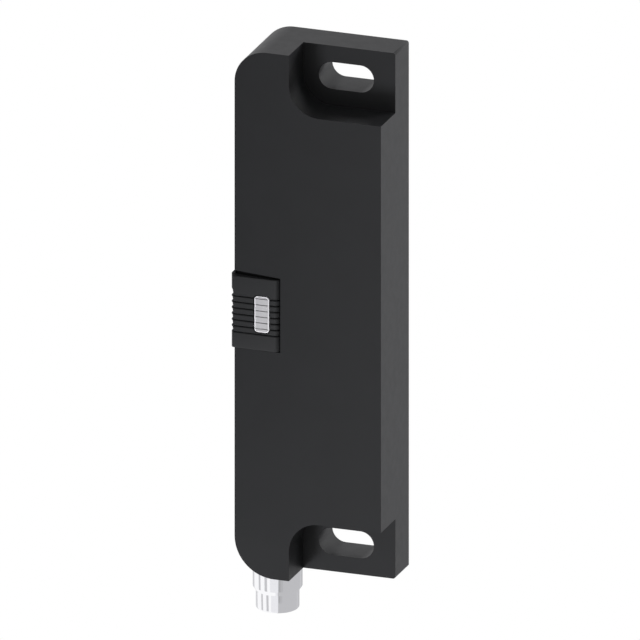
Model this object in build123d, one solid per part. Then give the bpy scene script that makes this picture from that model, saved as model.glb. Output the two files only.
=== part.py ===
from build123d import *
import os
from math import degrees, atan2, sqrt

# Magnetic safety switch, upright, as it is screwed to the frame of a guard door.
# X runs across the housing, Y from the sensing face (front, -Y) to the mounting face (Y = 0)
# and Z up. The origin is the centre of the mounting face. All sizes are in millimetres.

# Housing
housing_width = 24.5
housing_depth = 13.0
housing_height = 88.0
top_corner_radius = 5.3
bottom_corner_radius = 6.6
lug_corner_radius = 0.6
edge_break = 0.15
side_wall = 1.5
front_wall = 1.6
cavity_floor = 5.0
cavity_corner_radius = 1.0

# Mounting pockets and their slotted lugs, beside a strip of full depth
strip_width = 9.1
pocket_height = 10.0
pocket_depth = 6.7
pocket_corner_radius = 5.0
pocket_wall = 1.3
slot_from_end = 5.0
slot_width = 4.5
slot_length = 9.2
slot_from_edge = 8.2

# Rear cover, let into a rebate round the open back
cover_thickness = 1.2
cover_ledge = 0.7
cover_gap = 0.08

# Ribbed band that marks the sensing middle, wrapped round the front left edge
band_height = 12.0
band_middle = 0.2
band_front_width = 7.6
band_side_depth = 10.6
band_thickness = 1.0
band_proud = 0.45
band_corner_radius = 0.9
band_end_radius = 0.6
band_gap = 0.05
band_end_gap = 0.15
groove_count = 7
groove_pitch = 1.0
groove_depth = 0.32
groove_width = 0.66
groove_middle = -0.1
scoop_height = 1.0

# Light window in the band, with its guide towards the lamp
window_width = 2.6
window_height = 6.2
window_corner_radius = 0.5
window_gap = 0.12
window_bevel = 0.35
window_middle_x = 4.6
window_middle_z = 0.13
window_line_width = 0.16
window_line_depth = 0.06
guide_flange = 0.7
guide_flange_thickness = 0.8
guide_to_lamp = 0.3

# Circuit board on four posts
board_thickness = 1.0
board_edge_gap = 0.5
board_from_front = 5.2
board_corner_cut = 0.8
post_diameter = 2.6
post_pin_diameter = 1.0
post_pin_rise = 0.6
post_inset = 1.8
post_above_wires = 11.0
pin_hole_gap = 0.05

# Lamp on the board, behind the window
lamp_width = 1.6
lamp_height = 2.2
lamp_thickness = 0.8
lamp_lens_inset = 0.2

# Reed contacts: a glass tube with two springy blades
tube_diameter = 2.0
tube_wall = 0.3
tube_length = 12.0
tube_seal = 1.7
tube_end_bevel = 0.6
tube_off_board = 0.25
lead_diameter = 0.5
lead_gap = 0.02
lead_straight = 1.6
lead_bend_radius = 0.6
blade_width = 0.9
blade_thickness = 0.18
blade_overlap = 1.0
blade_air_gap = 0.16
blade_touch_gap = 0.01
blade_root_gap = 0.03
closed_reed_from_edge = 3.85
reed_spacing = 5.2
reed_middle_z = 0.0

# Magnet that keeps the second reed closed at rest
bias_width = 1.6
bias_depth = 1.8
bias_height = 8.0
bias_from_tube = 0.6

# Chip resistors
resistor_width = 1.6
resistor_length = 3.2
resistor_thickness = 0.6
resistor_cap_length = 0.5
resistor_cap_rise = 0.06
resistor_above_edge = 9.0
resistor_spacing = 3.0

# Plug connector at the lower end
connector_x = 4.61
connector_depth = 7.2
collar_diameter = 7.9
collar_into_housing = 2.7
collar_below = 3.48
collar_chamfer_height = 0.75
nose_diameter = 6.9
nose_length = 2.97
nose_chamfer = 0.3
shank_diameter = 6.0
shank_above_floor = 2.0
socket_diameter = 5.5
socket_above = 1.7
rear_bore_diameter = 5.04
collar_gap = 0.05
shank_gap = 0.02
key_width = 0.8
key_height = 0.45

# Insulating insert and contact pins
insert_gap = 0.02
insert_face_below = 2.9
insert_past_shank = 0.4
pin_diameter = 1.0
pin_offset = 1.25
pin_short_of_mouth = 0.8
pin_past_insert = 0.8
pin_tip_bevel = 0.25
pin_gap = 0.01

# Sealing ring and the resin plug that holds the connector
ring_thickness = 0.68
ring_space = 0.7
ring_gap = 0.05
ring_rim = 0.75
resin_height = 1.7
resin_gap = 0.01

# Wires between the pins and pads on the back of the board
wire_diameter = 0.8
wire_rise = 1.2
wire_behind_board = 0.7
wire_bend_radius = 0.6
wire_sides = 6
front_pad_rise = 3.0
rear_pad_rise = 6.0

# Solder mounds on the pads
solder_diameter = 1.5
solder_height = 0.4
solder_bevel = 0.2

# Places that follow from the sizes above
left = -housing_width / 2
right = housing_width / 2
top = housing_height / 2
bottom = -housing_height / 2
front = -housing_depth
lug_face = front + pocket_depth
pocket_side = left + strip_width
slot_x = right - slot_from_edge
front_inside = front + front_wall
strip_right = pocket_side - pocket_wall
cavity_bottom = bottom + cavity_floor
body_low = bottom + pocket_height + side_wall
body_high = top - pocket_height - side_wall
board_front = front + board_from_front
board_back = board_front + board_thickness
board_left = left + side_wall + board_edge_gap
board_right = right - side_wall - board_edge_gap
board_low = body_low + board_edge_gap
board_high = body_high - board_edge_gap
closed_reed_x = board_right - closed_reed_from_edge
open_reed_x = closed_reed_x - reed_spacing
plug_x = left + connector_x
plug_y = front + connector_depth


def block(x_low, x_high, y_low, y_high, z_low, z_high):
    """A box between six limits."""
    middle = ((x_low + x_high) / 2, (y_low + y_high) / 2, (z_low + z_high) / 2)
    return Pos(*middle) * Box(x_high - x_low, y_high - y_low, z_high - z_low)


def upright(sketch, y_front, y_back):
    """A sketch drawn as seen from the front, made solid between two depths."""
    return extrude(Plane.XZ.offset(-y_back) * sketch, amount=y_back - y_front)


def turned(points, x, y):
    """A closed profile of (radius, height) points turned about an upright axis at x, y."""
    profile = Plane.XZ * make_face(Polyline(*points, close=True))
    return Pos(x, y, 0) * revolve(profile, Axis.Z)


def rectangle(x_low, x_high, z_low, z_high):
    """A flat rectangle between four limits."""
    middle = ((x_low + x_high) / 2, (z_low + z_high) / 2)
    return Pos(*middle) * Rectangle(x_high - x_low, z_high - z_low)


def corner_at(sketch, x, z):
    """The corner of a sketch that lies nearest to a point."""
    return sketch.vertices().sort_by_distance((x, z, 0))[0]


# Housing

def housing_outline():
    """Front outline: large rounds on the left, small ones on the lug side."""
    shape = rectangle(left, right, bottom, top)
    shape = fillet(corner_at(shape, left, top), top_corner_radius)
    shape = fillet(corner_at(shape, left, bottom), bottom_corner_radius)
    shape = fillet(corner_at(shape, right, top), lug_corner_radius)
    return fillet(corner_at(shape, right, bottom), lug_corner_radius)


def pocket(end):
    """Space over one lug, open to the front, the side and its end of the housing."""
    floor = end * (housing_height / 2 - pocket_height)
    past = end * (housing_height / 2 + pocket_height)
    low, high = sorted((floor, past))
    shape = rectangle(pocket_side, right + housing_width, low, high)
    shape = fillet(corner_at(shape, pocket_side, floor), pocket_corner_radius)
    return upright(shape, front - pocket_depth, lug_face)


def mounting_slot(end):
    """Slot through a lug, for a screw."""
    height = end * (housing_height / 2 - slot_from_end)
    shape = Pos(slot_x, height) * SlotOverall(slot_length, slot_width)
    return upright(shape, lug_face - pocket_depth, housing_depth)


def cavity_outline():
    """Outline of the hollow: a strip beside the pockets and the wide middle."""
    strip = rectangle(left + side_wall, strip_right, cavity_bottom, top - side_wall)
    strip = fillet(corner_at(strip, left + side_wall, top - side_wall),
                   top_corner_radius - side_wall)
    strip = fillet(corner_at(strip, left + side_wall, cavity_bottom), cavity_corner_radius)
    strip = fillet(corner_at(strip, strip_right, cavity_bottom), cavity_corner_radius)
    strip = fillet(corner_at(strip, strip_right, top - side_wall), cavity_corner_radius)
    middle = rectangle(left + side_wall, right - side_wall, body_low, body_high)
    middle = fillet(corner_at(middle, right - side_wall, body_low), cavity_corner_radius)
    middle = fillet(corner_at(middle, right - side_wall, body_high), cavity_corner_radius)
    shape = strip + middle
    shape = fillet(corner_at(shape, strip_right, body_low), pocket_corner_radius)
    return fillet(corner_at(shape, strip_right, body_high), pocket_corner_radius)


def post_places():
    """The four points that carry the board, clear of the wires at the lower left."""
    west = board_left + post_inset
    east = board_right - post_inset
    low = board_low + post_inset
    high = board_high - post_inset
    return [(west, high), (east, low), (east, high), (west, low + post_above_wires)]


def pin_places():
    """The two posts, far apart, whose pins locate the board."""
    return post_places()[:2]


def board_posts():
    """Posts from the front wall to the board, and the pins through it."""
    pillars = Sketch() + [Pos(x, z) * Circle(post_diameter / 2) for x, z in post_places()]
    pins = Sketch() + [Pos(x, z) * Circle(post_pin_diameter / 2) for x, z in pin_places()]
    posts = upright(pillars, front_inside, board_front)
    return posts + upright(pins, board_front - post_pin_rise, board_back + post_pin_rise)


def band_section(inner, outer, x_end, y_end):
    """Section of the band seen from above, between two offsets from the housing's faces."""
    shape = rectangle(left - outer, x_end, front - outer, y_end)
    return shape - rectangle(left + inner, x_end + band_thickness, front + inner,
                             y_end + band_thickness)


def band_seat():
    """Recess for the band in the front and left walls."""
    depth = band_thickness - band_proud
    shape = band_section(depth, depth, left + band_front_width + band_gap,
                         front + band_side_depth + band_gap)
    half = band_height / 2 + band_end_gap
    return Pos(0, 0, band_middle - half) * extrude(shape, amount=2 * half)


def window_outline(grow):
    """Rounded outline of the light window, made larger all round."""
    shape = RectangleRounded(window_width + 2 * grow, window_height + 2 * grow,
                             window_corner_radius + grow)
    return Pos(left + window_middle_x, window_middle_z) * shape


def connector_bore():
    """Stepped bore for the connector through the floor of the housing."""
    collar = (collar_diameter / 2) + collar_gap
    shank = (shank_diameter / 2) + shank_gap
    shoulder = bottom + collar_into_housing + ring_space
    points = [(0, bottom - collar_below), (collar, bottom - collar_below), (collar, shoulder),
              (shank, shoulder), (shank, cavity_bottom + shank_above_floor),
              (0, cavity_bottom + shank_above_floor)]
    return turned(points, plug_x, plug_y)


def outer_edges(body):
    """The edges to break: round the front, the back and the lugs, and the pockets' corners."""
    near_side = right - lug_corner_radius
    near_end = housing_height / 2 - lug_corner_radius
    floor = housing_height / 2 - pocket_height
    edges = body.faces().sort_by(Axis.Y)[0].edges() + body.faces().sort_by(Axis.Y)[-1].edges()
    for edge in body.edges():
        middle = edge.center()
        in_lug_face = abs(middle.Y - lug_face) < edge_break
        if in_lug_face and (middle.X > near_side or abs(middle.Z) > near_end):
            edges.append(edge)
    for edge in body.edges().filter_by(Axis.Y):
        middle = edge.center()
        at_strip = abs(middle.X - pocket_side) < edge_break and abs(middle.Z) > near_end
        at_floor = middle.X > near_side and abs(abs(middle.Z) - floor) < edge_break
        if at_strip or at_floor:
            edges.append(edge)
    return edges


def make_housing():
    """Moulded housing with everything that is formed in it."""
    body = upright(housing_outline(), front, 0)
    for end in (1, -1):
        body -= pocket(end)
    body = chamfer(outer_edges(body), edge_break)
    for end in (1, -1):
        body -= mounting_slot(end)
    hollow = cavity_outline()
    body -= upright(hollow, front_inside, housing_depth)
    body -= upright(offset(hollow, cover_ledge), -cover_thickness, housing_depth)
    body -= band_seat()
    body -= upright(window_outline(window_gap), front - band_thickness, front_inside + front_wall)
    body -= connector_bore()
    return body + board_posts()


def make_cover():
    """Flat rear cover, level with the mounting face."""
    return upright(offset(cavity_outline(), cover_ledge - cover_gap), -cover_thickness, 0)


# Band and window

def groove_path():
    """Line along the band's skin: across the front, round the edge and back along the side."""
    x_skin = left - band_proud
    y_skin = front - band_proud
    start = (left + band_front_width + band_thickness, y_skin, 0)
    end = (x_skin, front + band_side_depth + band_thickness, 0)
    return FilletPolyline(start, (x_skin, y_skin, 0), end, radius=band_corner_radius)


def groove_heights():
    """Heights of the grooves, from the lowest to the highest."""
    first = groove_middle - groove_pitch * (groove_count - 1) / 2
    return [first + groove_pitch * step for step in range(groove_count)]


def make_band():
    """Ribbed band: an angle section with V grooves run round its outer faces."""
    inner = band_thickness - band_proud
    x_end = left + band_front_width
    y_end = front + band_side_depth
    shape = band_section(inner, band_proud, x_end, y_end)
    shape = fillet(corner_at(shape, left - band_proud, front - band_proud), band_corner_radius)
    shape = fillet(corner_at(shape, x_end, front - band_proud), band_end_radius)
    shape = fillet(corner_at(shape, left - band_proud, y_end), band_end_radius)
    band = Pos(0, 0, band_middle - band_height / 2) * extrude(shape, amount=band_height)

    path = groove_path()
    start = path @ 0
    rim = band_gap
    half = groove_width / 2 * (1 + rim / groove_depth)
    for height in groove_heights():
        vee = Polyline((0, -rim, -half), (0, groove_depth, 0), (0, -rim, half), close=True)
        vee = Pos(start.X, start.Y, height) * make_face(vee)
        band -= sweep(vee, path=Pos(0, 0, height) * path)

    top_groove = groove_heights()[-1]
    skin = left - band_proud
    scoop = Polyline((skin - rim, top_groove + scoop_height * (1 + rim / groove_depth)),
                     (skin + groove_depth, top_groove), (skin - rim, top_groove), close=True)
    band -= upright(make_face(scoop), front - band_proud + band_corner_radius, y_end + rim)
    return band - upright(window_outline(window_gap), front - band_thickness, front + band_thickness)


def make_window():
    """Light window: bevelled face, fine lines, stem through the wall, flange and guide."""
    face_y = front - band_proud
    stem = upright(window_outline(0), face_y, front_inside)
    stem = chamfer(stem.faces().sort_by(Axis.Y)[0].edges(), window_bevel)
    x_middle = left + window_middle_x
    half_width = window_width / 2
    half_height = window_height / 2
    flange = block(x_middle - half_width - guide_flange, x_middle + half_width + guide_flange,
                   front_inside, front_inside + guide_flange_thickness,
                   window_middle_z - half_height - guide_flange,
                   window_middle_z + half_height + guide_flange)
    guide = block(x_middle - half_width, x_middle + half_width, front_inside,
                  board_front - lamp_thickness - guide_to_lamp,
                  window_middle_z - half_height, window_middle_z + half_height)
    window = stem + flange + guide
    reach = half_width - window_bevel
    for height in groove_heights():
        if abs(height - window_middle_z) < half_height - window_bevel - window_line_width / 2:
            window -= block(x_middle - reach, x_middle + reach, face_y - window_line_depth,
                            face_y + window_line_depth, height - window_line_width / 2,
                            height + window_line_width / 2)
    return window


def make_lamp():
    """Surface-mounted lamp: a base and a narrower lens, both facing the window."""
    x = left + window_middle_x
    half_width = lamp_width / 2
    half_height = lamp_height / 2
    base_front = board_front - lamp_thickness / 2
    base = block(x - half_width, x + half_width, base_front, board_front,
                 window_middle_z - half_height, window_middle_z + half_height)
    lens = block(x - half_width + lamp_lens_inset, x + half_width - lamp_lens_inset,
                 board_front - lamp_thickness, base_front,
                 window_middle_z - half_height + lamp_lens_inset,
                 window_middle_z + half_height - lamp_lens_inset)
    return base + lens


# Circuit board and what it carries

def reed_lead_heights():
    """Heights of the pads to which the reed leads are soldered."""
    reach = tube_length / 2 + lead_straight
    return [reed_middle_z - reach, reed_middle_z + reach]


def wire_places():
    """Pin number, x and y of each pin and the height of its wire's pad on the board."""
    front_pad = board_low + front_pad_rise
    rear_pad = board_low + rear_pad_rise
    return [(1, plug_x - pin_offset, plug_y - pin_offset, front_pad),
            (2, plug_x + pin_offset, plug_y - pin_offset, front_pad),
            (3, plug_x - pin_offset, plug_y + pin_offset, rear_pad),
            (4, plug_x + pin_offset, plug_y + pin_offset, rear_pad)]


def make_board():
    """Circuit board, drilled for the pins of the posts."""
    shape = rectangle(board_left, board_right, board_low, board_high)
    shape = chamfer(shape.vertices(), board_corner_cut)
    for x, z in pin_places():
        shape -= Pos(x, z) * Circle(post_pin_diameter / 2 + pin_hole_gap)
    return upright(shape, board_front, board_back)


def reed_depth():
    """Depth of the reed tubes' axis, just clear of the board."""
    return board_front - tube_off_board - tube_diameter / 2


def make_tube(x):
    """Glass tube with tapered ends, melted shut round the two leads."""
    radius = tube_diameter / 2
    bore = radius - tube_wall
    lead = lead_diameter / 2 + lead_gap
    half = tube_length / 2
    hollow = half - tube_seal
    tip = radius - tube_end_bevel
    points = [(lead, -half), (lead, -hollow), (bore, -hollow), (bore, hollow), (lead, hollow),
              (lead, half), (tip, half), (radius, half - tube_end_bevel),
              (radius, tube_end_bevel - half), (tip, -half)]
    return Pos(0, 0, reed_middle_z) * turned(points, x, reed_depth())


def strand(path, diameter):
    """A wire along a path, with a many-sided section."""
    section = Plane(path @ 0, z_dir=path % 0) * RegularPolygon(diameter / 2, wire_sides)
    return sweep(section, path=path)


def make_lead(x, end):
    """Lead wire from the seal inside the tube, bent back to its solder on the board."""
    inner = reed_middle_z + end * (tube_length / 2 - tube_seal)
    turn = reed_middle_z + end * (tube_length / 2 + lead_straight)
    path = FilletPolyline((x, reed_depth(), inner), (x, reed_depth(), turn),
                          (x, board_front - solder_height, turn), radius=lead_bend_radius)
    return strand(path, lead_diameter)


def hinge_height(end):
    """Height of the line about which a blade bends, just inside its seal."""
    inner = tube_length / 2 - tube_seal
    return reed_middle_z + end * (inner - blade_root_gap - blade_thickness / 2)


def blade_swing():
    """Angle in degrees that closes the air gap when both blades turn by it."""
    span = hinge_height(1) - hinge_height(-1)
    return degrees(atan2(blade_air_gap - blade_touch_gap, span))


def make_blade(x, end, closed):
    """Flat springy blade with a rounded root; the lower one lies behind the upper one."""
    hinge = hinge_height(end)
    depth = reed_depth() - end * (blade_air_gap + blade_thickness) / 2
    tip = reed_middle_z - end * blade_overlap / 2
    low, high = sorted((hinge, tip))
    half = blade_width / 2
    blade = block(x - half, x + half, depth - blade_thickness / 2, depth + blade_thickness / 2,
                  low, high)
    root = Cylinder(blade_thickness / 2, blade_width, rotation=(0, 90, 0))
    blade += Pos(x, depth, hinge) * root
    if closed:
        line = Axis((x, depth, hinge), (1, 0, 0))
        blade = blade.rotate(line, blade_swing())
    return blade


def make_bias_magnet():
    """Small magnet on the board beside the reed that it keeps closed."""
    x_low = closed_reed_x + tube_diameter / 2 + bias_from_tube
    return block(x_low, x_low + bias_width, board_front - bias_depth, board_front,
                 reed_middle_z - bias_height / 2, reed_middle_z + bias_height / 2)


def make_resistor(step):
    """Chip resistor on the board, with a thicker metal cap at each end."""
    x = open_reed_x + step * resistor_spacing
    z = board_low + resistor_above_edge
    half_width = resistor_width / 2
    half_length = resistor_length / 2
    chip = block(x - half_width, x + half_width, board_front - resistor_thickness, board_front,
                 z - half_length, z + half_length)
    for end in (1, -1):
        low, high = sorted((z + end * half_length, z + end * (half_length - resistor_cap_length)))
        chip += block(x - half_width, x + half_width,
                      board_front - resistor_thickness - resistor_cap_rise, board_front, low, high)
    return chip


# Connector

def make_sleeve():
    """Metal sleeve: nose, collar and shank, bored through, with a key rib in its mouth."""
    mouth = bottom - collar_below - collar_chamfer_height - nose_length
    nose = nose_diameter / 2
    collar = collar_diameter / 2
    shank = shank_diameter / 2
    nose_top = bottom - collar_below - collar_chamfer_height
    collar_top = bottom + collar_into_housing
    shank_top = cavity_bottom + shank_above_floor
    socket = socket_diameter / 2
    bore = rear_bore_diameter / 2
    step = bottom + socket_above
    points = [(socket, mouth), (nose - nose_chamfer, mouth), (nose, mouth + nose_chamfer),
              (nose, nose_top), (collar, bottom - collar_below), (collar, collar_top),
              (shank, collar_top), (shank, shank_top), (bore, shank_top), (bore, step),
              (socket, step)]
    sleeve = turned(points, plug_x, plug_y)
    root = sqrt(socket ** 2 - (key_width / 2) ** 2)
    key = block(plug_x - key_width / 2, plug_x + key_width / 2, plug_y - root - key_height / 2,
                plug_y - socket + key_height, mouth + nose_chamfer, bottom - insert_face_below)
    return sleeve + key


def make_insert():
    """Insulator that fills the sleeve, drilled for the pins."""
    face = bottom - insert_face_below
    step = bottom + socket_above - insert_gap
    rear = cavity_bottom + shank_above_floor + insert_past_shank
    wide = socket_diameter / 2 - insert_gap
    slim = rear_bore_diameter / 2 - insert_gap
    insert = turned([(0, face), (wide, face), (wide, step), (slim, step), (slim, rear), (0, rear)],
                    plug_x, plug_y)
    hole = pin_diameter / 2 + pin_gap
    for _, x, y, _ in wire_places():
        insert -= turned([(0, face - hole), (hole, face - hole), (hole, rear + hole),
                          (0, rear + hole)], x, y)
    return insert


def pin_rear():
    """Height of the rear end of the pins, where the wires begin."""
    return cavity_bottom + shank_above_floor + insert_past_shank + pin_past_insert


def make_pin(x, y):
    """Contact pin with a bevelled tip."""
    mouth = bottom - collar_below - collar_chamfer_height - nose_length
    tip = mouth + pin_short_of_mouth
    radius = pin_diameter / 2
    points = [(0, tip), (radius - pin_tip_bevel, tip), (radius, tip + pin_tip_bevel),
              (radius, pin_rear()), (0, pin_rear())]
    return turned(points, x, y)


def make_ring():
    """Flat sealing ring between the collar and the shoulder of its bore."""
    inner = shank_diameter / 2 + ring_gap
    outer = inner + ring_rim
    low = bottom + collar_into_housing
    high = low + ring_thickness
    return turned([(inner, low), (outer, low), (outer, high), (inner, high)], plug_x, plug_y)


def make_resin():
    """Resin cast into the lower end of the hollow, round the shank."""
    high = cavity_bottom + resin_height
    low = rectangle(left + side_wall + resin_gap, strip_right - resin_gap, cavity_bottom, high)
    low = fillet(low.vertices().sort_by(Axis.Y)[:2], cavity_corner_radius)
    resin = upright(low, front_inside, -cover_thickness - resin_gap)
    hole = shank_diameter / 2 + resin_gap
    past = high + resin_height
    under = cavity_bottom - resin_height
    return resin - turned([(0, under), (hole, under), (hole, past), (0, past)], plug_x, plug_y)


# Wires and solder

def make_wire(x, y, pad):
    """Wire from the rear of a pin, up behind the board and forward to its solder."""
    start = pin_rear()
    behind = max(y, board_back + wire_behind_board + wire_diameter / 2)
    ends_at = board_back + solder_height
    points = [(x, y, start)]
    if behind > y:
        knee = start + wire_rise
        points += [(x, y, knee), (x, behind, knee + 2 * (behind - y))]
    points += [(x, behind, pad), (x, ends_at, pad)]
    return strand(FilletPolyline(*points, radius=wire_bend_radius), wire_diameter)


def mound(x, z, face, outward):
    """Solder mound on a pad: low, many-sided and bevelled."""
    pad = Plane((x, face, z), z_dir=(0, outward, 0)) * RegularPolygon(solder_diameter / 2, wire_sides)
    lump = extrude(pad, amount=solder_height)
    crest = lump.faces().sort_by_distance((x, face + outward * solder_height, z))[0]
    return chamfer(crest.edges(), solder_bevel)


def make_solder():
    """All solder mounds: in front of the board at the reed leads, behind it at the wires."""
    mounds = []
    for x in (open_reed_x, closed_reed_x):
        for z in reed_lead_heights():
            mounds.append(mound(x, z, board_front, -1))
    for _, x, _, z in wire_places():
        mounds.append(mound(x, z, board_back, 1))
    return Compound(children=mounds)


def make_parts():
    """Every piece of the switch by name."""
    parts = {}
    parts["housing"] = make_housing()
    parts["rear_cover"] = make_cover()
    parts["marker_band"] = make_band()
    parts["light_window"] = make_window()
    parts["status_lamp"] = make_lamp()
    parts["circuit_board"] = make_board()
    for name, x, closed in (("open_reed", open_reed_x, False),
                            ("closed_reed", closed_reed_x, True)):
        parts[name + "_tube"] = make_tube(x)
        for place, end in (("lower", -1), ("upper", 1)):
            parts[name + "_" + place + "_lead"] = make_lead(x, end)
            parts[name + "_" + place + "_blade"] = make_blade(x, end, closed)
    parts["bias_magnet"] = make_bias_magnet()
    for step, name in enumerate(("lamp_resistor", "open_reed_resistor", "closed_reed_resistor")):
        parts[name] = make_resistor(step)
    parts["connector_sleeve"] = make_sleeve()
    parts["connector_insert"] = make_insert()
    for number, x, y, pad in wire_places():
        parts["contact_pin_%d" % number] = make_pin(x, y)
        parts["wire_%d" % number] = make_wire(x, y, pad)
    parts["sealing_ring"] = make_ring()
    parts["resin_plug"] = make_resin()
    parts["solder_joints"] = make_solder()
    return parts


os.makedirs("parts", exist_ok=True)
for name, shape in make_parts().items():
    export_step(shape, "parts/%s.step" % name)
print("blade swing to contact: %.3f degrees" % blade_swing())
print("blade hinge heights: %.4f and %.4f mm" % (hinge_height(-1), hinge_height(1)))
print("reed depth: %.4f mm, blade offset: %.4f mm"
      % (reed_depth(), (blade_air_gap + blade_thickness) / 2))
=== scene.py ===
# %% [markdown]
# # A magnetic safety switch
#
# The object is a slim black switch for the door of a machine guard. Its housing is moulded
# plastic with two pockets on the right, where slotted lugs take the mounting screws. A ribbed
# band wraps round the front left edge and holds a pale light window, and a bright metal plug
# connector stands out of the lower end.
#
# The measured solids come in as a frame that stays where it is. Each piece that the eye rests on
# is then worked out again here as a finer surface, and the rest keeps its solid and gets a
# finish. All lengths are in metres.

# %% Load the measured frame
import bpy
import bmesh
import numpy as np
from math import radians, sin, cos, pi
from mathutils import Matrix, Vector


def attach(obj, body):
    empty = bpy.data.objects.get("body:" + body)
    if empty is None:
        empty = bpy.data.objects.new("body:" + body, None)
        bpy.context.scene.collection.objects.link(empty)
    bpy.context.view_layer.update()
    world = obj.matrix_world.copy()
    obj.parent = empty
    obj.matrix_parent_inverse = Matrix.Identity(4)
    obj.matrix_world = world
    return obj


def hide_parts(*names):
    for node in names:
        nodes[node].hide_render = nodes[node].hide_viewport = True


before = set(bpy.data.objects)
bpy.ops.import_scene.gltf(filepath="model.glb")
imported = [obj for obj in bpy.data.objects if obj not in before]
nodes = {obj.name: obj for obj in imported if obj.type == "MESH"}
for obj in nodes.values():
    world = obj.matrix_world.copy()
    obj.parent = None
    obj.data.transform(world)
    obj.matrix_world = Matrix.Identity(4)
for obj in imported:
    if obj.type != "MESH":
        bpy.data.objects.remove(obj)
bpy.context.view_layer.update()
mm = 0.001


def add_object(name, data):
    """Makes an object of the data and puts it in the scene."""
    made = bpy.data.objects.new(name, data)
    bpy.context.scene.collection.objects.link(made)
    return made


print("pieces in the frame:", len(nodes))

# %% [markdown]
# ## The camera
#
# The photograph has next to no perspective: lines that are parallel on the housing are parallel
# in the picture. So the camera is orthographic. It stands 19.8 degrees to the right of the front
# and 19.9 degrees above it, and the picture is 100.8 mm wide. It looks at a point a little below
# and left of the housing's middle, which puts the housing where the photograph has it.

# %% Camera
azimuth = radians(19.8)
elevation = radians(19.9)
picture_width, camera_distance = 100.76 * mm, 0.6
housing_middle = np.array([0.0, -6.5, 0.0]) * mm
aside, below = -0.27 * mm, -1.95 * mm

towards_camera = np.array([sin(azimuth) * cos(elevation), -cos(azimuth) * cos(elevation),
                           sin(elevation)])
picture_right = np.array([cos(azimuth), sin(azimuth), 0.0])
picture_up = np.cross(towards_camera, picture_right)
target = housing_middle + aside * picture_right + below * picture_up

camera_data = bpy.data.cameras.new("camera")
camera_data.type = "ORTHO"
camera_data.ortho_scale = picture_width
camera_data.clip_start, camera_data.clip_end = 0.01, 10.0
camera = add_object("camera", camera_data)
camera.location = target + camera_distance * towards_camera
camera.rotation_euler = (pi / 2 - elevation, 0.0, azimuth)
bpy.context.scene.camera = camera
bpy.context.scene.view_settings.view_transform = "Standard"
print("camera looks at, in mm:", np.round(target / mm, 2))

# %% [markdown]
# ## Surfaces from numbers
#
# A surface here is a table of points: rows one way, columns the other. Numpy works the whole
# table out at once, and one helper joins neighbouring points into four-sided faces. A second
# helper puts points and faces into a mesh, shades it smooth except at sharp edges, and hangs it
# on the body it moves with.

# %% Grids of points into meshes
def grid_faces(rows, columns, close_rows=False, close_columns=False):
    """Faces of a grid: point (r, c) has number r * columns + c, and each face joins it to its
    neighbours at r + 1 and c + 1. A closed direction joins its last line to its first."""
    r = np.arange(rows if close_rows else rows - 1)[:, None]
    c = np.arange(columns if close_columns else columns - 1)[None, :]
    r_next, c_next = (r + 1) % rows, (c + 1) % columns
    corners = np.stack([r * columns + c, r * columns + c_next,
                        r_next * columns + c_next, r_next * columns + c], axis=-1)
    return corners.reshape(-1, 4)


def end_lids(rows, columns):
    """Two faces that close a stack of rows: the first row, turned over, and the last one."""
    loop = np.arange(columns)
    return np.stack([loop[::-1], (rows - 1) * columns + loop])


def mesh_from(name, points, *face_tables):
    """A mesh from a table of points and tables of faces with 3, 4 or more corners each."""
    mesh = bpy.data.meshes.new(name)
    mesh.vertices.add(len(points))
    mesh.vertices.foreach_set("co", np.asarray(points, np.float32).ravel())
    sizes = np.concatenate([np.full(len(table), table.shape[1]) for table in face_tables])
    corners = np.concatenate([np.asarray(table).ravel() for table in face_tables])
    mesh.loops.add(len(corners))
    mesh.loops.foreach_set("vertex_index", corners.astype(np.int32))
    mesh.polygons.add(len(sizes))
    mesh.polygons.foreach_set("loop_start",
                              np.concatenate([[0], np.cumsum(sizes)[:-1]]).astype(np.int32))
    mesh.update(calc_edges=True)
    mesh.validate()
    return mesh


def place(name, mesh, finish, body, stands_for=(), crease=30.0):
    """Makes the object, gives it its finish, hangs it on a body and hides the solids it replaces.
    """
    piece = add_object(name, mesh)
    mesh.materials.clear()
    mesh.materials.append(finish)
    mesh.shade_smooth()
    mesh.set_sharp_from_angle(angle=radians(crease))
    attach(piece, body)
    if stands_for:
        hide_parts(*stands_for)
    print(name, "faces:", len(mesh.polygons))
    return piece


# %% [markdown]
# ## Finishes
#
# Moulded plastic is never one flat colour. The tool that made it was sparked, so the skin has a
# grain of a tenth of a millimetre, and its colour and gloss drift over some millimetres. One
# helper builds that for every plastic and metal here: slow noise moves the colour between two
# near tones, finer noise moves the roughness, and the finest one is the bump. The window's
# colour is also multiplied by a painted tone that its mesh carries: a painted highlight on the
# bevelled rim and painted shade in the fine cuts.

# %% A finish from three scales of noise
def add_node(tree, kind, **settings):
    """A shader node of this kind, with its settings, such as its operation."""
    node = tree.nodes.new("ShaderNode" + kind)
    for setting, value in settings.items():
        setattr(node, setting, value)
    return node


def noise(tree, size, detail=3.0):
    """Noise on the object's own coordinates whose lumps are about size metres across."""
    place_node = add_node(tree, "TexCoord")
    texture = add_node(tree, "TexNoise")
    texture.inputs["Scale"].default_value = 1.0 / size
    texture.inputs["Detail"].default_value = detail
    tree.links.new(place_node.outputs["Object"], texture.inputs["Vector"])
    return texture.outputs["Fac"]


def between(tree, factor, low, high):
    """Maps noise, which lies mostly between 0.3 and 0.7, to the range from low to high."""
    node = add_node(tree, "MapRange")
    node.inputs["From Min"].default_value = 0.3
    node.inputs["From Max"].default_value = 0.7
    node.inputs["To Min"].default_value = low
    node.inputs["To Max"].default_value = high
    tree.links.new(factor, node.inputs["Value"])
    return node.outputs["Result"]


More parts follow.
